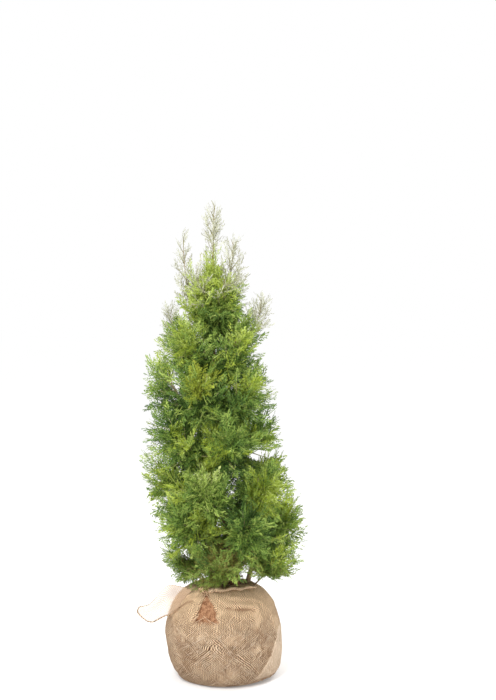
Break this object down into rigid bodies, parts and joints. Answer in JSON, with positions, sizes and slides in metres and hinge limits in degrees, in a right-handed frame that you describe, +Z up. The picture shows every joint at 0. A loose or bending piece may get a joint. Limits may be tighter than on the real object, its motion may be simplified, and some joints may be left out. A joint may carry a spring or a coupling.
{
  "type": "root-balled thuja",
  "caption": "Young columnar thuja hedge plant with ferny green foliage on one trunk, its root ball wrapped in knotted hessian, standing on a flat underside.",
  "frame": {"origin": "centre of the flat underside that the root ball stands on", "axes": "+Z up along the trunk, +X to the right and +Y to the back, seen from the side with the knot in front"},
  "size_m": [0.4674, 0.415, 1.3308],
  "materials": {
    "hessian": "coarse open weave, pale straw with soil stains",
    "bark": "thin fibrous bark in upright strips",
    "twig_bark": "smooth young bark",
    "foliage": "flat sprays of scale leaves, satin",
    "fresh_foliage": "flat sprays of young scale leaves, satin"
  },
  "bodies": {
    "root": {"root_ball": "hessian", "hessian_knot": "hessian", "hessian_roll": "hessian", "hessian_ear": "hessian", "hessian_lap": "hessian", "trunk": "bark", "bough_skirt_1": "twig_bark", "foliage_skirt_1": "foliage", "bough_skirt_2": "twig_bark", "foliage_skirt_2": "foliage", "stem_left": "twig_bark", "foliage_skirt_3": "foliage", "bough_skirt_4": "twig_bark", "foliage_skirt_4": "foliage", "stem_low_right": "twig_bark", "foliage_skirt_5": "foliage", "stem_right": "twig_bark", "foliage_lower_1": "foliage", "bough_lower_2": "twig_bark", "foliage_lower_2": "foliage", "bough_lower_3": "twig_bark", "foliage_lower_3": "foliage", "bough_lower_4": "twig_bark", "foliage_lower_4": "foliage", "bough_lower_5": "twig_bark", "foliage_lower_5": "foliage", "bough_middle_1": "twig_bark", "foliage_middle_1": "foliage", "bough_middle_2": "twig_bark", "foliage_middle_2": "foliage", "bough_middle_3": "twig_bark", "foliage_middle_3": "foliage", "bough_middle_4": "twig_bark", "foliage_middle_4": "foliage", "bough_middle_5": "twig_bark", "foliage_middle_5": "foliage", "foliage_upper_1": "foliage", "foliage_upper_2": "foliage", "foliage_upper_3": "foliage", "foliage_upper_4": "foliage", "foliage_upper_5": "foliage", "foliage_shoulder_1": "foliage", "foliage_shoulder_2": "foliage", "foliage_shoulder_3": "foliage", "foliage_shoulder_4": "foliage", "foliage_shoulder_5": "foliage", "foliage_crest_1": "foliage", "foliage_crest_2": "foliage", "foliage_crest_3": "foliage", "foliage_crest_4": "foliage", "foliage_crown_1": "fresh_foliage", "foliage_crown_2": "fresh_foliage", "foliage_crown_3": "fresh_foliage", "foliage_crown_4": "fresh_foliage", "foliage_left_spire": "fresh_foliage", "foliage_right_spire": "fresh_foliage", "foliage_back_spire": "fresh_foliage", "foliage_right_shoot": "fresh_foliage", "foliage_left_shoot": "fresh_foliage", "foliage_leader": "fresh_foliage"}
  },
  "joints": []
}
